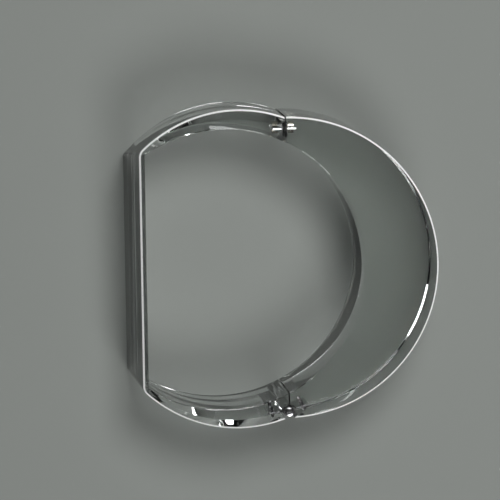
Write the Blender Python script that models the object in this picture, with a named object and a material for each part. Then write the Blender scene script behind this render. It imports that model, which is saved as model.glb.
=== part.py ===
"""Hinged D-shaped bangle in clear acrylic, closed and lying flat on its rim.

Units are metres, +Z up. The wrist opening runs along Z. +X points from the flat side to the
wide crescent side. The two halves meet at a clasp (+Y) and at a hinge (-Y).
"""
import math
import bmesh
import bpy
from mathutils import Matrix, Vector

for old in list(bpy.data.objects):
    bpy.data.objects.remove(old, do_unlink=True)

MM = 0.001
GAP = 0.3 * MM              # clearance between pieces that touch

# ring
HEIGHT = 19.0 * MM          # depth of the ring along the arm
BORE_X = -13.45 * MM        # axis of the round wrist opening
BORE_R = 30.8 * MM
FLAT_TOP = -31.75 * MM      # outside of the flat side at the top rim
FLAT_BASE = -33.65 * MM     # and at the bottom rim: the face has a slight draft
FLAT_IN = -30.6 * MM       # inside of the flat side
BACK_X, BACK_A, BACK_B = -10.45 * MM, 32.0 * MM, 35.1 * MM   # outer ellipse of the flat half
CORNER_R = 2.6 * MM
# under-bevel of the two arms of the flat half: their outer wall draws in towards the bottom rim
UNDER_A, UNDER_B, UNDER_H = 35.4 * MM, 31.95 * MM, 2.4 * MM
UNDER_SHIFT = -0.47 * MM     # the slope is a little deeper on the clasp side
FRONT_X, FRONT_R = 0.45 * MM, 33.2 * MM                      # outer semicircle, crescent half
SEAM_X = 0.25 * MM          # plane in which the halves meet
RIM_BEVEL = 0.45 * MM       # polished round along every rim edge

# hinge, at the -Y end of the seam
BARREL_R = 1.25 * MM
BARREL_ROOM = 0.5 * MM      # room round the barrel, so the halves clear each other when open
HINGE_Y = -31.9 * MM
PIN_R = 0.5 * MM
PIN_HEAD_R, PIN_HEAD_T = 1.05 * MM, 0.5 * MM
KNUCKLES = 5
LEAF_T, LEAF_LEN = 0.5 * MM, 4.6 * MM
LEAF_Z0, LEAF_Z1 = 4.6 * MM, 16.6 * MM
LEAF_TURN = {"flat": math.radians(184.8), "crescent": math.radians(17.0)}
RIVET_R, RIVET_LEN, RIVET_AT = 0.35 * MM, 2.4 * MM, 3.4 * MM
RIVET_Z = (7.1 * MM, 14.1 * MM)

# clasp, at the +Y end of the seam
CLASP_Y = 30.35 * MM
CLASP_Z = 10.9 * MM
PLATE_T, PLATE_W, PLATE_H = 0.4 * MM, 3.2 * MM, 12.5 * MM
SCREW_Z = (CLASP_Z - 4.8 * MM, CLASP_Z + 4.8 * MM)
SCREW_R, SCREW_HEAD_R, SCREW_LEN = 0.4 * MM, 0.75 * MM, 2.4 * MM
MAGNET_R, MAGNET_T = 1.3 * MM, 1.2 * MM
DOWEL_R, DOWEL_OUT, DOWEL_IN = 0.4 * MM, 0.8 * MM, 1.0 * MM
DOWEL_Z = (CLASP_Z - 2.6 * MM, CLASP_Z + 2.6 * MM)


def material(name, color, metallic=0.0, rough=0.1, alpha=1.0, transmission=0.0, ior=1.45):
    m = bpy.data.materials.new(name)
    m.use_nodes = True
    b = m.node_tree.nodes["Principled BSDF"]
    b.inputs["Base Color"].default_value = (*color, 1.0)
    b.inputs["Metallic"].default_value = metallic
    b.inputs["Roughness"].default_value = rough
    b.inputs["Transmission Weight"].default_value = transmission
    b.inputs["IOR"].default_value = ior
    b.inputs["Alpha"].default_value = alpha
    return m


ACRYLIC = dict(color=(0.93, 0.95, 0.94), rough=0.02, transmission=1.0, ior=1.49)
STEEL = dict(color=(0.60, 0.60, 0.61), metallic=1.0, rough=0.18)


def add(name, bm, mat, smooth=True):
    bmesh.ops.remove_doubles(bm, verts=bm.verts, dist=1e-7)
    bmesh.ops.recalc_face_normals(bm, faces=bm.faces)
    me = bpy.data.meshes.new(name)
    bm.to_mesh(me)
    bm.free()
    ob = bpy.data.objects.new(name, me)
    bpy.context.scene.collection.objects.link(ob)
    me.materials.append(material(name, **mat))
    if smooth:
        me.shade_smooth()
        me.set_sharp_from_angle(angle=math.radians(35))
    return ob


def prism(bm, low, high, z0, z1):
    """Closed solid between two outlines with the same number of points."""
    a = [bm.verts.new((x, y, z0)) for x, y in low]
    b = [bm.verts.new((x, y, z1)) for x, y in high]
    n = len(a)
    for i in range(n):
        bm.faces.new((a[i], a[(i + 1) % n], b[(i + 1) % n], b[i]))
    bm.faces.new(list(reversed(a)))
    bm.faces.new(b)


def rod(bm, p, q, r, n=24, r_end=None):
    """Cylinder or cone from p to q."""
    p, q = Vector(p), Vector(q)
    d = q - p
    turn = Vector((0, 0, 1)).rotation_difference(d.normalized()).to_matrix().to_4x4()
    at = Matrix.Translation((p + q) / 2) @ turn
    bmesh.ops.create_cone(bm, cap_ends=True, segments=n, radius1=r,
                          radius2=r if r_end is None else r_end, depth=d.length, matrix=at)


def block(bm, center, size, turn=0.0):
    at = (Matrix.Translation(center) @ Matrix.Rotation(turn, 4, "Z")
          @ Matrix.Diagonal((size[0], size[1], size[2], 1.0)))
    bmesh.ops.create_cube(bm, size=1.0, matrix=at)


def arc(cx, rx, ry, a0, a1, n):
    return [(cx + rx * math.cos(a0 + (a1 - a0) * i / n),
             ry * math.sin(a0 + (a1 - a0) * i / n)) for i in range(n + 1)]


def hide_cutter(bm, name):
    bmesh.ops.recalc_face_normals(bm, faces=bm.faces)
    me = bpy.data.meshes.new(name)
    bm.to_mesh(me)
    bm.free()
    ob = bpy.data.objects.new(name, me)
    bpy.context.scene.collection.objects.link(ob)
    ob.hide_render = True
    ob.display_type = "WIRE"
    return ob


def cut(ob, bm, name):
    mod = ob.modifiers.new(name, "BOOLEAN")
    mod.operation = "DIFFERENCE"
    mod.solver = "EXACT"
    mod.object = hide_cutter(bm, name)


def bevel(ob, width, segments=2, angle=40.0):
    mod = ob.modifiers.new("edges", "BEVEL")
    mod.width = width
    mod.segments = segments
    mod.limit_method = "ANGLE"
    mod.angle_limit = math.radians(angle)


# ---------------------------------------------------------------- acrylic halves
SIDES = {"crescent": 1.0, "flat": -1.0}
FACE = {s: SEAM_X + d * GAP / 2 for s, d in SIDES.items()}


def bore_angle(x):
    return math.acos((x - BORE_X) / BORE_R)


def crescent_outline():
    x = FACE["crescent"]
    a = math.acos((x - FRONT_X) / FRONT_R)
    b = bore_angle(x)
    outer = arc(FRONT_X, FRONT_R, FRONT_R, -a, a, 72)
    inner = arc(BORE_X, BORE_R, BORE_R, b, -b, 56)
    return outer + inner


def flat_outline(x_flat):
    """Outline of the flat half, with the flat side at x_flat."""
    x = FACE["flat"]
    a = math.acos((x - BACK_X) / BACK_A)
    reach = math.acos((x_flat + CORNER_R * 0.75 - BACK_X) / BACK_A)
    top = arc(BACK_X, BACK_A, BACK_B, a, reach, 28)
    end = Vector(top[-1])
    slope = (end.x - BACK_X) * BACK_B ** 2 / (end.y * BACK_A ** 2)
    knee = Vector((x_flat, end.y + slope * (end.x - x_flat)))
    foot = Vector((x_flat, knee.y - (knee - end).length))
    turn = []
    for i in range(1, 7):
        t = i / 6
        turn.append(tuple((1 - t) ** 2 * end + 2 * t * (1 - t) * knee + t * t * foot))
    upper = top + turn
    lower = [(px, -py) for px, py in reversed(upper)]
    b_in = bore_angle(FLAT_IN)
    b_seam = bore_angle(x)
    inner_low = arc(BORE_X, BORE_R, BORE_R, -b_seam, -b_in, 32)
    inner_up = arc(BORE_X, BORE_R, BORE_R, b_in, b_seam, 32)
    return upper + lower + inner_low + inner_up


halves = {}
bm = bmesh.new()
outline = crescent_outline()
prism(bm, outline, outline, 0.0, HEIGHT)
halves["crescent"] = add("crescent_half", bm, ACRYLIC)
bm = bmesh.new()
prism(bm, flat_outline(FLAT_BASE), flat_outline(FLAT_TOP), 0.0, HEIGHT)
halves["flat"] = add("flat_half", bm, ACRYLIC)
for ob in halves.values():
    bevel(ob, RIM_BEVEL)


def under_bevel():
    """Ring with a sloping inner wall, taken off the arms' outer wall near the bottom rim."""
    def loop(z, grow=None):
        t = z / UNDER_H
        a = UNDER_A + (BACK_A - UNDER_A) * t if grow is None else grow
        b = UNDER_B + (BACK_B - UNDER_B) * t if grow is None else grow
        y = UNDER_SHIFT * (1 - t) if grow is None else 0.0
        return [bm.verts.new((BACK_X + a * math.cos(2 * math.pi * i / n),
                              y + b * math.sin(2 * math.pi * i / n), z)) for i in range(n)]
    n, low, high = 144, -0.5 * MM, UNDER_H + 0.5 * MM
    bm = bmesh.new()
    loops = [loop(low), loop(high), loop(high, 46 * MM), loop(low, 46 * MM)]
    for one, two in zip(loops, loops[1:] + loops[:1]):
        for i in range(n):
            bm.faces.new((one[i], one[(i + 1) % n], two[(i + 1) % n], two[i]))
    return bm


cut(halves["flat"], under_bevel(), "under_bevel")

# ---------------------------------------------------------------- hinge
AXIS = Vector((SEAM_X, HINGE_Y, 0.0))
span = (HEIGHT - 2 * PIN_HEAD_T - 4 * GAP) / KNUCKLES
z_first = PIN_HEAD_T + 2 * GAP

for side, d in SIDES.items():
    turn = LEAF_TURN[side]
    along = Vector((math.cos(turn), math.sin(turn), 0.0))
    across = Vector((-along.y, along.x, 0.0))
    # leaf blade, set in a slot of the acrylic, with the barrel knuckles of this half
    bm = bmesh.new()
    mine = range(0, KNUCKLES, 2) if side == "flat" else range(1, KNUCKLES, 2)
    blade_from = BARREL_R + GAP
    mid = AXIS + along * ((blade_from + LEAF_LEN) / 2)
    block(bm, (mid.x, mid.y, (LEAF_Z0 + LEAF_Z1) / 2),
          (LEAF_LEN - blade_from, LEAF_T, LEAF_Z1 - LEAF_Z0), turn)
    leaf = add("hinge_leaf_" + side, bm, STEEL)
    for k in mine:
        z0 = z_first + k * span + GAP / 2
        z1 = z0 + span - GAP
        bm = bmesh.new()
        rod(bm, AXIS + Vector((0, 0, z0)), AXIS + Vector((0, 0, z1)), BARREL_R)
        lo, hi = max(z0, LEAF_Z0), min(z1, LEAF_Z1)
        m = AXIS + along * (blade_from / 2 + 0.2 * MM)
        web = bmesh.new()
        block(web, (m.x, m.y, (lo + hi) / 2), (blade_from + 0.4 * MM, LEAF_T * 0.9, hi - lo), turn)
        for part, tag in ((bm, "knuckle"), (web, "web")):
            mod = leaf.modifiers.new(f"{tag}_{k}", "BOOLEAN")
            mod.operation = "UNION"
            mod.solver = "EXACT"
            mod.object = hide_cutter(part, f"{tag}_{side}_{k}")
    bm = bmesh.new()
    rod(bm, AXIS + Vector((0, 0, -GAP)), AXIS + Vector((0, 0, HEIGHT + GAP)), PIN_R + GAP)
    cut(leaf, bm, f"pin_hole_{side}")
    bm = bmesh.new()
    for z in RIVET_Z:
        c = AXIS + along * RIVET_AT + Vector((0, 0, z))
        rod(bm, c - across * LEAF_T, c + across * LEAF_T, RIVET_R + GAP, 20)
    cut(leaf, bm, f"rivet_holes_{side}")

    # rivets that hold the leaf in its half
    for i, z in enumerate(RIVET_Z, 1):
        bm = bmesh.new()
        c = AXIS + along * RIVET_AT + Vector((0, 0, z))
        rod(bm, c - across * RIVET_LEN / 2, c + across * RIVET_LEN / 2, RIVET_R, 20)
        add(f"hinge_rivet_{side}_{i}", bm, STEEL)

    # slot, rivet holes and barrel seat in the acrylic
    body = halves[side]
    bm = bmesh.new()
    mid = AXIS + along * ((LEAF_LEN + GAP) / 2)
    block(bm, (mid.x, mid.y, (LEAF_Z0 + LEAF_Z1) / 2),
          (LEAF_LEN + GAP, LEAF_T + 2 * GAP, LEAF_Z1 - LEAF_Z0 + 2 * GAP), turn)
    cut(body, bm, f"leaf_slot_{side}")
    bm = bmesh.new()
    for z in RIVET_Z:
        c = AXIS + along * RIVET_AT + Vector((0, 0, z))
        reach = across * (RIVET_LEN / 2 + GAP)
        rod(bm, c - reach, c + reach, RIVET_R + GAP, 20)
    cut(body, bm, f"rivet_seats_{side}")
    bm = bmesh.new()
    rod(bm, AXIS + Vector((0, 0, -MM)), AXIS + Vector((0, 0, HEIGHT + MM)),
        BARREL_R + BARREL_ROOM, 32)
    cut(body, bm, f"barrel_seat_{side}")

# hinge pin with a flat head at each end
bm = bmesh.new()
rod(bm, AXIS + Vector((0, 0, 0.1 * MM)), AXIS + Vector((0, 0, HEIGHT - 0.1 * MM)), PIN_R)
pin = add("hinge_pin", bm, STEEL)
for end, z in (("low", 0.1 * MM), ("high", HEIGHT - 0.1 * MM - PIN_HEAD_T)):
    bm = bmesh.new()
    rod(bm, AXIS + Vector((0, 0, z)), AXIS + Vector((0, 0, z + PIN_HEAD_T)), PIN_HEAD_R)
    mod = pin.modifiers.new("head_" + end, "BOOLEAN")
    mod.operation = "UNION"
    mod.solver = "EXACT"
    mod.object = hide_cutter(bm, "pin_head_" + end)

# ---------------------------------------------------------------- clasp
def screw(x, d, z):
    """Countersunk screw turned about its own axis, head at the seam side x."""
    profile = ((0.02, 0.0), (0.02, SCREW_HEAD_R), (0.1, SCREW_HEAD_R), (0.36, SCREW_R))
    n = 24
    bm = bmesh.new()
    rings = []
    for t, r in profile[1:] + ((SCREW_LEN / MM, SCREW_R),):
        rings.append([bm.verts.new((x + d * t * MM, CLASP_Y + r * math.cos(2 * math.pi * k / n),
                                    z + r * math.sin(2 * math.pi * k / n))) for k in range(n)])
    for a, b in zip(rings, rings[1:]):
        for k in range(n):
            bm.faces.new((a[k], a[(k + 1) % n], b[(k + 1) % n], b[k]))
    bm.faces.new(rings[0])
    bm.faces.new(rings[-1])
    return bm


for side, d in SIDES.items():
    x_face = SEAM_X + d * GAP / 2                 # seam side of the plate
    x_back = x_face + d * PLATE_T
    body = halves[side]
    # end plate
    bm = bmesh.new()
    block(bm, ((x_face + x_back) / 2, CLASP_Y, CLASP_Z), (PLATE_T, PLATE_W, PLATE_H))
    plate = add("clasp_plate_" + side, bm, STEEL)
    # screws with countersunk heads
    seats = bmesh.new()
    wells = bmesh.new()
    for i, z in enumerate(SCREW_Z, 1):
        add(f"clasp_screw_{side}_{i}", screw(x_face, d, z), STEEL)
        rod(seats, (x_face - d * 0.2 * MM, CLASP_Y, z), (x_face + d * 0.8 * MM, CLASP_Y, z),
            SCREW_HEAD_R + GAP, 24)
        rod(wells, (x_face, CLASP_Y, z), (x_face + d * (SCREW_LEN + GAP), CLASP_Y, z),
            SCREW_R + GAP, 20)
    cut(plate, seats, f"screw_seats_{side}")
    cut(body, wells, f"screw_wells_{side}")
    bm = bmesh.new()
    block(bm, (SEAM_X + d * (PLATE_T + GAP) / 2, CLASP_Y, CLASP_Z),
          (PLATE_T + 2 * GAP, PLATE_W + 2 * GAP, PLATE_H + 2 * GAP))
    cut(body, bm, f"plate_seat_{side}")
    # magnet let into the end face
    x_m = x_back + d * 2 * GAP
    bm = bmesh.new()
    rod(bm, (x_m, CLASP_Y, CLASP_Z), (x_m + d * MAGNET_T, CLASP_Y, CLASP_Z), MAGNET_R, 32)
    add("clasp_magnet_" + side, bm, STEEL)
    bm = bmesh.new()
    rod(bm, (x_back, CLASP_Y, CLASP_Z), (x_m + d * (MAGNET_T + GAP), CLASP_Y, CLASP_Z),
        MAGNET_R + GAP, 32)
    cut(body, bm, f"magnet_seat_{side}")
    # dowel pins stand in the flat half and enter sockets in the crescent half
    bm = bmesh.new()
    depth = DOWEL_IN if side == "flat" else DOWEL_OUT
    for z in DOWEL_Z:
        rod(bm, (x_face - d * GAP, CLASP_Y, z), (x_back + d * (depth + 2 * GAP), CLASP_Y, z),
            DOWEL_R + GAP, 20)
    cut(body, bm.copy(), f"dowel_wells_{side}")
    cut(plate, bm, f"dowel_holes_{side}")

for i, z in enumerate(DOWEL_Z, 1):
    bm = bmesh.new()
    rod(bm, (SEAM_X - GAP / 2 - PLATE_T - DOWEL_IN, CLASP_Y, z),
        (SEAM_X + GAP / 2 + PLATE_T + DOWEL_OUT, CLASP_Y, z), DOWEL_R, 20)
    add(f"clasp_dowel_{i}", bm, STEEL)

# pieces of the crescent half turn with it about the hinge pin
hub = bpy.data.objects.new("hinge_axis", None)
hub.location = AXIS
bpy.context.scene.collection.objects.link(hub)
for ob in list(bpy.data.objects):
    if ob.hide_render or "crescent" not in ob.name:
        continue
    ob.parent = hub
    ob.matrix_parent_inverse = Matrix.Translation(-AXIS)
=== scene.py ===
import math

import bpy
from mathutils import Matrix, Vector


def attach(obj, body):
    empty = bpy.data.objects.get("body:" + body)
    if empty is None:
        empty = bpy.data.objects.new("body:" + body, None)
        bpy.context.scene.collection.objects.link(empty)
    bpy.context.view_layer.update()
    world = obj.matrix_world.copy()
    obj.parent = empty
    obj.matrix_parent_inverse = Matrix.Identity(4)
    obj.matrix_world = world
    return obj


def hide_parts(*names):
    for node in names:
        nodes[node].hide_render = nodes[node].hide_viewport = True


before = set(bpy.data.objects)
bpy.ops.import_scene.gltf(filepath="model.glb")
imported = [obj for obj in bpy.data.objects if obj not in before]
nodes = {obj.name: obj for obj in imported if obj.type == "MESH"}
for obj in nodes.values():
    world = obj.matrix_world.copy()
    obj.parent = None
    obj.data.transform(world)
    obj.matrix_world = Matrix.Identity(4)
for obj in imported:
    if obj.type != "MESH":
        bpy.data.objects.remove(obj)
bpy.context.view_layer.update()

MM = 0.001
scene = bpy.context.scene

# ------------------------------------------------------------------ sizes of the ring
BASE, RIM = 0.0, 19.0 * MM
SEAM = 0.25 * MM                  # plane where the halves meet
BORE_X, BORE_R = -13.45 * MM, 30.8 * MM
FRONT_X, FRONT_R = 0.45 * MM, 33.2 * MM
BACK_X, BACK_A, BACK_B = -10.45 * MM, 32.0 * MM, 35.1 * MM
FLAT_BASE, FLAT_TOP, FLAT_IN = -33.65 * MM, -31.75 * MM, -30.6 * MM
CORNER_R = 2.6 * MM               # upright corners of the flat side
CHAMFER = 0.36 * MM               # flat chamfer round the outside of the top rim
BASE_ROUND = 0.9 * MM             # rounding round the outside of the bottom rim
BORE_EDGE = 0.2 * MM              # 45 degree edge at the top of the bore
UNDER_A, UNDER_B, UNDER_H = 35.4 * MM, 31.95 * MM, 2.4 * MM   # slope under the arms
UNDER_SHIFT = -0.47 * MM          # makes the slope deeper on the clasp side

# sizes of the metal in the seams
FIT = 0.01 * MM                   # how much tighter a cemented seat is than its metal
HALF_GAP = 0.15 * MM              # from the seam plane to either seam face
HINGE = Vector((SEAM, -31.9 * MM, 0.0))
BARREL_ROOM_R = 1.75 * MM
LEAF_T, LEAF_LEN, LEAF_TALL, LEAF_Z = 0.5 * MM, 4.6 * MM, 12.0 * MM, 10.6 * MM
LEAF_TURN = {"crescent": math.radians(17.0), "flat": math.radians(184.8)}
RIVET_R, RIVET_HALF, RIVET_AT, RIVET_Z = 0.35 * MM, 1.2 * MM, 3.4 * MM, (7.1 * MM, 14.1 * MM)
PIN_R, PIN_HEAD_R, PIN_HEAD_T, PIN_INSET = 0.5 * MM, 1.05 * MM, 0.5 * MM, 0.1 * MM
PIN_HEAD_ROUND = 0.22 * MM
CLASP_Y, CLASP_Z = 30.35 * MM, 10.9 * MM
PLATE_T, PLATE_W, PLATE_TALL = 0.4 * MM, 3.2 * MM, 12.5 * MM
SCREW_R, SCREW_HEAD_R, SCREW_LEN = 0.4 * MM, 0.75 * MM, 2.4 * MM
SCREW_Z = (CLASP_Z - 4.8 * MM, CLASP_Z + 4.8 * MM)
MAGNET_R, MAGNET_NEAR, MAGNET_FAR = 1.3 * MM, 1.0 * MM, 2.2 * MM
DOWEL_R, DOWEL_IN, DOWEL_Z = 0.4 * MM, 1.4 * MM, (CLASP_Z - 2.6 * MM, CLASP_Z + 2.6 * MM)
SOCKET_R, SOCKET_IN = 0.5 * MM, 1.5 * MM


# ------------------------------------------------------------------ modelling by hand
def mesh_mode(kind="FACE"):
    bpy.ops.object.mode_set(mode="EDIT")
    bpy.ops.mesh.select_mode(type=kind)


def object_mode():
    bpy.ops.object.mode_set(mode="OBJECT")


def only(ob):
    bpy.ops.object.select_all(action="DESELECT")
    ob.select_set(True)
    bpy.context.view_layer.objects.active = ob


def settle(ob):
    """Puts the object's place into its mesh."""
    only(ob)
    bpy.ops.object.transform_apply(location=True, rotation=True, scale=True)


def named(name):
    """Names the primitive that was just added and puts its place into its mesh."""
    ob = bpy.context.object
    ob.name = name
    settle(ob)
    return ob


def round_blank(name, x, y, r, z0, z1, sides):
    """Upright disc or rod between two heights."""
    bpy.ops.object.select_all(action="DESELECT")
    bpy.ops.mesh.primitive_cylinder_add(vertices=sides, radius=r, depth=z1 - z0,
                                        location=(x, y, (z0 + z1) / 2))
    return named(name)


def square_blank(name, center, size, turn=0.0):
    bpy.ops.object.select_all(action="DESELECT")
    bpy.ops.mesh.primitive_cube_add(size=1.0, location=center, rotation=(0, 0, turn), scale=size)
    return named(name)


def drill(name, p, q, r, sides=32):
    """Rod from p to q."""
    p, q = Vector(p), Vector(q)
    bpy.ops.object.select_all(action="DESELECT")
    bpy.ops.mesh.primitive_cylinder_add(vertices=sides, radius=r, depth=(q - p).length,
                                        location=(p + q) / 2,
                                        rotation=(q - p).to_track_quat("Z", "Y").to_euler())
    return named(name)


def seam_face(side):
    """Which way a half lies from the seam along X, and where its seam face is."""
    way = 1.0 if side == "crescent" else -1.0
    return way, SEAM + way * HALF_GAP


def saw(ob, point, away):
    """Cuts the solid along a plane and keeps the side that the vector does not point to."""
    only(ob)
    mesh_mode()
    bpy.ops.mesh.select_all(action="SELECT")
    bpy.ops.mesh.bisect(plane_co=point, plane_no=away, use_fill=True, clear_outer=True,
                        threshold=1e-7)
    object_mode()


def combine(ob, operation, tools):
    for tool in tools:
        only(ob)
        mod = ob.modifiers.new("combine", "BOOLEAN")
        mod.operation = operation
        mod.solver = "EXACT"
        mod.object = tool
        bpy.ops.object.modifier_apply(modifier="combine")
        bpy.data.objects.remove(tool, do_unlink=True)


def cut_out(ob, *tools):
    combine(ob, "DIFFERENCE", tools)


def braze_on(ob, *parts):
    combine(ob, "UNION", parts)


def taper_blank(name, p, q, r_p, r_q, sides=48):
    """Cone frustum from p to q."""
    p, q = Vector(p), Vector(q)
    bpy.ops.object.select_all(action="DESELECT")
    bpy.ops.mesh.primitive_cone_add(vertices=sides, radius1=r_p, radius2=r_q,
                                    depth=(q - p).length, location=(p + q) / 2,
                                    rotation=(q - p).to_track_quat("Z", "Y").to_euler())
    return named(name)


def soften(ob, width, z, segments):
    """Bevels the rim that lies at height z: flat with one segment, rounded with more."""
    only(ob)
    rim = ob.vertex_groups.new(name="rim")
    rim.add([v.index for v in ob.data.vertices if abs(v.co.z - z) < 0.05 * MM], 1.0, "REPLACE")
    mod = ob.modifiers.new("edges", "BEVEL")
    mod.width = width
    mod.segments = segments
    mod.limit_method = "VGROUP"
    mod.vertex_group = "rim"
    bpy.ops.object.modifier_apply(modifier="edges")
    ob.vertex_groups.clear()
    mesh_mode("VERT")
    bpy.ops.mesh.select_all(action="SELECT")
    bpy.ops.mesh.remove_doubles(threshold=0.02 * MM)
    object_mode()


def pick(ob, choose):
    """Selects the vertices of a solid that the rule accepts, and leaves edit mode on."""
    only(ob)
    mesh_mode("VERT")
    bpy.ops.mesh.select_all(action="DESELECT")
    object_mode()
    for v in ob.data.vertices:
        v.select = choose(v.co)
    mesh_mode("VERT")


def round_flat_corners(ob, radius, steps=7):
    """Files the two upright corners of the flat side round, following its draft."""
    def corner(x_flat, side):
        y = side * BACK_B * math.sqrt(1 - ((x_flat - BACK_X) / BACK_A) ** 2)
        out = Vector(((x_flat - BACK_X) / BACK_A ** 2, y / BACK_B ** 2)).normalized()
        flat_out = Vector((-1.0, 0.0))
        center = Vector((x_flat, y)) - (flat_out + out) * radius / (1 + flat_out.dot(out))
        return center, math.acos(-out.x)

    for side in (1, -1):
        low, turn = corner(FLAT_BASE, side)
        high, _ = corner(FLAT_TOP, side)
        for i in range(steps):
            a = turn * (i + 0.5) / steps
            n = Vector((-math.cos(a), side * math.sin(a)))
            p, q = low + n * radius, high + n * radius
            rise = -(q - p).dot(n) / (RIM - BASE)
            saw(ob, (p.x, p.y, BASE), (n.x, n.y, rise))


def polish(ob, angle=25.0):
    only(ob)
    bpy.ops.object.shade_smooth_by_angle(angle=math.radians(angle))


def seats(side):
    """What is machined into one half. Metal that is cemented in fits its seat with no air gap;
    the barrel and the dowel sockets keep running room."""
    d, face = seam_face(side)
    turn = LEAF_TURN[side]
    along = Vector((math.cos(turn), math.sin(turn), 0.0))
    across = Vector((-along.y, along.x, 0.0))
    leaf = LEAF_LEN - FIT
    mid = HINGE + along * leaf / 2
    tools = [square_blank("slot", (mid.x, mid.y, LEAF_Z),
                          (leaf, LEAF_T - 2 * FIT, LEAF_TALL - 2 * FIT), turn)]
    for z in RIVET_Z:
        c = HINGE + along * RIVET_AT + Vector((0, 0, z))
        half = across * (RIVET_HALF - FIT)
        tools.append(drill("rivet", c - half, c + half, RIVET_R - FIT))
    tools.append(round_blank("barrel", HINGE.x, HINGE.y, BARREL_ROOM_R, -MM, 20 * MM, 50))
    deep = PLATE_T - FIT
    tools.append(square_blank("plate", (face + d * (deep - MM) / 2, CLASP_Y, CLASP_Z),
                              (deep + MM, PLATE_W - 2 * FIT, PLATE_TALL - 2 * FIT)))
    for z in SCREW_Z:
        tools.append(drill("screw", (face, CLASP_Y, z),
                           (face + d * (SCREW_LEN - FIT), CLASP_Y, z), SCREW_R - FIT))
    tools.append(drill("magnet", (face + d * (MAGNET_NEAR + FIT), CLASP_Y, CLASP_Z),
                       (face + d * (MAGNET_FAR - FIT), CLASP_Y, CLASP_Z), MAGNET_R - FIT))
    deep, r = (SOCKET_IN, SOCKET_R) if side == "crescent" else (DOWEL_IN - FIT, DOWEL_R - FIT)
    for z in DOWEL_Z:
        tools.append(drill("dowel", (face, CLASP_Y, z), (face + d * deep, CLASP_Y, z), r))
    return tools


def arm_slope():
    """Ring that files a slope under the arms of the flat half. Its inner wall is an oval that
    turns from wide at the bottom to the arms' own oval at the top of the slope."""
    taper = round_blank("taper", 0, 0, 1.0, BASE, UNDER_H, 320)
    taper.scale = (BACK_A, BACK_B, 1.0)
    taper.location = (BACK_X, 0, 0)
    settle(taper)
    pick(taper, lambda co: co.z < BASE + 0.1 * MM)
    bpy.ops.transform.resize(value=(UNDER_A / BACK_A, UNDER_B / BACK_B, 1.0),
                             center_override=(BACK_X, 0, 0))
    bpy.ops.transform.translate(value=(0, UNDER_SHIFT, -0.01 * MM))
    object_mode()
    ring = round_blank("ring", BACK_X, 0, 46 * MM, -MM, UNDER_H - 0.01 * MM, 64)
    cut_out(ring, taper)
    return ring


def deburr():
    """Countersink that takes a hair-fine 45 degree edge off the top of the bore."""
    low, high = 0.6 * MM, 0.2 * MM
    return taper_blank("deburr", (BORE_X, 0, RIM - low), (BORE_X, 0, RIM + high),
                       BORE_R + BORE_EDGE - low, BORE_R + BORE_EDGE + high, 320)


# crescent half: a round disc, bored off centre and sawn along the seam
crescent = round_blank("crescent_half_polished", FRONT_X, 0, FRONT_R, BASE, RIM, 320)
soften(crescent, CHAMFER, RIM, 1)
soften(crescent, BASE_ROUND, BASE, 4)
cut_out(crescent, round_blank("bore", BORE_X, 0, BORE_R, -5 * MM, 25 * MM, 320), deburr())
saw(crescent, (SEAM + HALF_GAP, 0, 0), (-1, 0, 0))
cut_out(crescent, *seats("crescent"))
polish(crescent)

# flat half: an oval disc, milled flat with a slight draft, its corners rounded, then bored
flat = round_blank("flat_half_polished", 0, 0, 1.0, BASE, RIM, 320)
flat.scale = (BACK_A, BACK_B, 1.0)
flat.location = (BACK_X, 0, 0)
settle(flat)
saw(flat, (FLAT_BASE, 0, BASE), (BASE - RIM, 0, FLAT_TOP - FLAT_BASE))
round_flat_corners(flat, CORNER_R)
soften(flat, CHAMFER, RIM, 1)
soften(flat, BASE_ROUND, BASE, 4)
cut_out(flat, arm_slope())
saw(flat, (SEAM - HALF_GAP, 0, 0), (1, 0, 0))
bore = round_blank("bore", BORE_X, 0, BORE_R, -5 * MM, 25 * MM, 320)
saw(bore, (FLAT_IN, 0, 0), (-1, 0, 0))
burr = deburr()
saw(burr, (FLAT_IN, 0, 0), (-1, 0, 0))
cut_out(flat, bore, burr)
cut_out(flat, *seats("flat"))
polish(flat)


# ------------------------------------------------------------------ metal pieces
def turned_pin():
    """Hinge pin with rounded heads, each with the dimple of the lathe's centre."""
    low, high = PIN_INSET, RIM - PIN_INSET
    pin = round_blank("hinge_pin_turned", HINGE.x, HINGE.y, PIN_R, low + 0.1 * MM,
                      high - 0.1 * MM, 48)
    for out, d in ((low, 1), (high, -1)):
        into = out + d * PIN_HEAD_T
        head = round_blank("head", HINGE.x, HINGE.y, PIN_HEAD_R, min(out, into),
                           max(out, into), 64)
        soften(head, PIN_HEAD_ROUND, out, 3)
        braze_on(pin, head)
        cut_out(pin, taper_blank("centre", (HINGE.x, HINGE.y, out - d * 0.1 * MM),
                                 (HINGE.x, HINGE.y, out + d * 0.2 * MM), 0.4 * MM, 0.04 * MM))
    polish(pin, 30.0)
    return pin


def slotted_screw(name, side, z):
    """Countersunk screw with a driver slot, its head flush with the end plate."""
    d, face = seam_face(side)

    def at(depth):
        return (face + d * depth, CLASP_Y, z)

    top = at(0.02 * MM)
    screw = drill(name, top, at(SCREW_LEN), SCREW_HEAD_R, 48)
    for depth in (0.1 * MM, 0.36 * MM):      # the cone of the head lies between these
        pick(screw, lambda co: True)
        bpy.ops.mesh.bisect(plane_co=at(depth), plane_no=(1, 0, 0), threshold=1e-7)
        object_mode()
    shank = SCREW_R / SCREW_HEAD_R
    pick(screw, lambda co: abs(co.x - face) > 0.3 * MM)
    bpy.ops.transform.resize(value=(1.0, shank, shank), center_override=top)
    object_mode()
    cut_out(screw, square_blank("slot", at(0.05 * MM), (0.2 * MM, 2.0 * MM, 0.2 * MM)))
    polish(screw, 30.0)
    return screw


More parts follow.
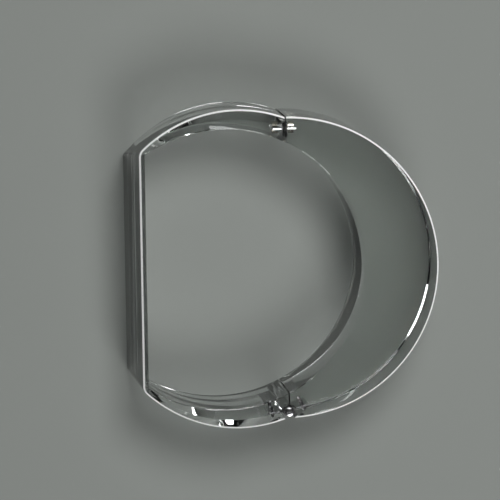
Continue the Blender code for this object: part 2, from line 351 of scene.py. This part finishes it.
metal = [(turned_pin(), "flat", "hinge_pin")]
for side in ("crescent", "flat"):
    for i, z in enumerate(SCREW_Z, 1):
        name = f"clasp_screw_{side}_{i}"
        metal.append((slotted_screw(name + "_slotted", side, z), side, name))


# ------------------------------------------------------------------ materials
def hex_color(code):
    """sRGB hex to linear RGBA."""
    out = []
    for i in (0, 2, 4):
        c = int(code[i:i + 2], 16) / 255
        out.append(c / 12.92 if c <= 0.04045 else ((c + 0.055) / 1.055) ** 2.4)
    return (*out, 1.0)


def node(tree, kind, links=None, **settings):
    """Adds one node. links maps an input to the socket that feeds it or to a value."""
    n = tree.nodes.new(kind)
    for key, value in settings.items():
        setattr(n, key, value)
    for key, value in (links or {}).items():
        if isinstance(value, bpy.types.NodeSocket):
            tree.links.new(value, n.inputs[key])
        else:
            n.inputs[key].default_value = value
    return n


def blank(name):
    m = bpy.data.materials.new(name)
    m.use_nodes = True
    return m, m.node_tree, m.node_tree.nodes["Principled BSDF"]


def polished_acrylic():
    """Cast acrylic (PMMA), sawn and flame polished: water clear, a mirror-like skin with a few
    hairline handling scratches."""
    m, t, b = blank("cast_acrylic_polished")
    b.inputs["Base Color"].default_value = hex_color("F6F8F7")
    b.inputs["Transmission Weight"].default_value = 1.0
    b.inputs["IOR"].default_value = 1.49
    place = node(t, "ShaderNodeTexCoord").outputs["Object"]
    stretch = node(t, "ShaderNodeMapping", {"Vector": place, "Scale": (1.0, 1.0, 0.06)})
    # real hairlines are under 0.1 mm wide; drawn about 1.1 mm apart, coarser than real, to show
    scratches = node(t, "ShaderNodeTexNoise", {"Vector": stretch.outputs[0], "Scale": 900.0,
                                               "Detail": 3.0, "Roughness": 0.6})
    haze = node(t, "ShaderNodeMapRange", {"Value": scratches.outputs["Fac"], "From Min": 0.6,
                                          "From Max": 0.85, "To Min": 0.0, "To Max": 0.05})
    t.links.new(haze.outputs[0], b.inputs["Roughness"])
    return m


def acrylic_edge_painted_highlight():
    """The chamfer of the same acrylic, near white and nearly opaque: a painted highlight that
    shows as a white line round the rim, with a roughness that varies like buffing marks."""
    m, t, b = blank("cast_acrylic_edge_painted_highlight")
    # near-white colour with little transmission: the painted highlight line round the rim
    b.inputs["Base Color"].default_value = hex_color("FEFEFD")
    b.inputs["Transmission Weight"].default_value = 0.1
    b.inputs["IOR"].default_value = 1.49
    place = node(t, "ShaderNodeTexCoord").outputs["Object"]
    # buffing marks are under 0.1 mm; drawn about 0.4 mm apart, coarser than real, to show
    grain = node(t, "ShaderNodeTexNoise", {"Vector": place, "Scale": 2500.0, "Detail": 3.0})
    rough = node(t, "ShaderNodeMapRange", {"Value": grain.outputs["Fac"], "To Min": 0.18,
                                           "To Max": 0.42})
    t.links.new(rough.outputs[0], b.inputs["Roughness"])
    return m


def bright_metal(name, scale, dark, light, rough_low, rough_high):
    """Metal whose tone and roughness vary a little with one fine pattern."""
    m, t, b = blank(name)
    b.inputs["Metallic"].default_value = 1.0
    place = node(t, "ShaderNodeTexCoord").outputs["Object"]
    marks = node(t, "ShaderNodeTexNoise", {"Vector": place, "Scale": scale, "Detail": 2.0})
    tone = node(t, "ShaderNodeMix", {"Factor": marks.outputs["Fac"], "A": hex_color(dark),
                                     "B": hex_color(light)}, data_type="RGBA")
    t.links.new(tone.outputs["Result"], b.inputs["Base Color"])
    rough = node(t, "ShaderNodeMapRange", {"Value": marks.outputs["Fac"], "To Min": rough_low,
                                           "To Max": rough_high})
    t.links.new(rough.outputs[0], b.inputs["Roughness"])
    return m, t, b, marks


def turned_steel():
    """Stainless steel, fine turned and lightly buffed: bright, with hair-fine tool marks. The
    marks are about 0.25 mm apart, coarser than a real fine feed, so that they show."""
    return bright_metal("stainless_steel_turned", 4000.0, "C4C4C6", "D6D6D7", 0.12, 0.24)[0]


def plated_nickel():
    """Neodymium magnet with bright nickel plate: warmer and smoother than the steel, with the
    faint orange peel of a plated sintered blank, about 0.56 mm from crest to crest."""
    m, t, b, peel = bright_metal("magnet_nickel_plate", 1800.0, "C9C3B8", "D8D3C9", 0.06, 0.14)
    bump = node(t, "ShaderNodeBump", {"Height": peel.outputs["Fac"], "Strength": 0.2,
                                      "Distance": 0.02 * MM})
    t.links.new(bump.outputs[0], b.inputs["Normal"])
    return m


acrylic = polished_acrylic()
edge = acrylic_edge_painted_highlight()
steel = turned_steel()
nickel = plated_nickel()
for name, ob in nodes.items():
    mat = acrylic if name.endswith("_half") else nickel if "magnet" in name else steel
    for s in ob.material_slots:
        s.material = mat


def hand_over(piece, side, replaced, slot, *finishes):
    """Gives a new piece its finishes and its body, and hides the CAD node that it stands for."""
    piece.data.materials.clear()
    for finish in finishes:
        piece.data.materials.append(finish)
    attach(piece, side + "_side")
    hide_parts(replaced)


for piece, side in ((crescent, "crescent"), (flat, "flat")):
    hand_over(piece, side, side + "_half", "clear_acrylic", acrylic, edge)
    # the outer chamfer faces get the near-white finish, a painted highlight line
    for f in piece.data.polygons:      # the chamfer round the outside of the top rim
        outward = f.normal.x * (f.center.x - BORE_X) + f.normal.y * f.center.y > 0
        if outward and 0.5 < f.normal.z < 0.9 and f.center.z > RIM - CHAMFER:
            f.material_index = 1
for piece, side, name in metal:
    hand_over(piece, side, name, "polished_steel", steel)

# ------------------------------------------------------------------ stage
FLOOR_SIZE = 3.0
FLOOR_Z = -0.2 * MM               # clear of the base: on one plane with it the body turns black
DARK = (0.004, 0.004, 0.004, 1)   # near-black studio
bpy.ops.object.select_all(action="DESELECT")
bpy.ops.mesh.primitive_plane_add(size=FLOOR_SIZE, location=(0, 0, FLOOR_Z))
floor = bpy.context.object
floor.name = "floor"
m, t, b = blank("felt_grey")
b.inputs["Base Color"].default_value = hex_color("8E928E")
b.inputs["Roughness"].default_value = 0.95
floor.data.materials.append(m)

world = scene.world or bpy.data.worlds.new("world")
scene.world = world
world.use_nodes = True
world.node_tree.nodes["Background"].inputs[0].default_value = DARK
world.node_tree.nodes["Background"].inputs[1].default_value = 1.0
scene.view_settings.view_transform = "Standard"


def lamp(name, at, size, power, target=(0, 0, 0.01), tall=None):
    """Area lamp aimed at a target: a disc, or a strip if a height is given."""
    data = bpy.data.lights.new(name, "AREA")
    data.shape = "DISK" if tall is None else "RECTANGLE"
    data.size = size
    if tall is not None:
        data.size_y = tall
    data.energy = power
    ob = bpy.data.objects.new(name, data)
    scene.collection.objects.link(ob)
    ob.location = at
    ob.rotation_euler = (Vector(target) - Vector(at)).to_track_quat("-Z", "Y").to_euler()
    return ob


lamp("key", (0.12, 0.44, 0.78), 0.40, 4.7)
lamp("fill", (0.15, -0.40, 0.60), 0.35, 2.1)
# low ring of strip lamps, open on one side: it lights the rims and leaves the studio dark
STRIP_RING_R, STRIP_Z, STRIP_LONG, STRIP_TALL, STRIP_POWER = 0.5, 0.02, 0.30, 0.03, 0.25
for i in (0, 1, 2, 3, 5, 6, 7):
    a = math.radians(22.5 + 45 * i)
    strip = lamp(f"strip_{i}", (STRIP_RING_R * math.cos(a), STRIP_RING_R * math.sin(a), STRIP_Z),
                 STRIP_LONG, STRIP_POWER, target=(0, 0, STRIP_Z), tall=STRIP_TALL)
    strip.visible_camera = False

# ------------------------------------------------------------------ camera
FRAME_W = 108.9 * MM              # what the frame's width covers at the top rim
DIST = 1.0
SENSOR = 36.0
ROLL = math.radians(-1.8)
aim = Vector((-7.92 * MM, 4.27 * MM, RIM))
back = Vector((-0.116, 0.139, 1.0))
lens_dist = back.length * DIST
data = bpy.data.cameras.new("camera")
camera = bpy.data.objects.new("camera", data)
scene.collection.objects.link(camera)
camera.location = aim + back * DIST
z = back.normalized()
x = Vector((math.cos(ROLL), math.sin(ROLL), 0))
x = (x - x.dot(z) * z).normalized()
camera.rotation_euler = Matrix((x, z.cross(x), z)).transposed().to_euler()
data.sensor_width = SENSOR
data.lens = SENSOR * lens_dist / FRAME_W
data.clip_start = 0.01
scene.camera = camera
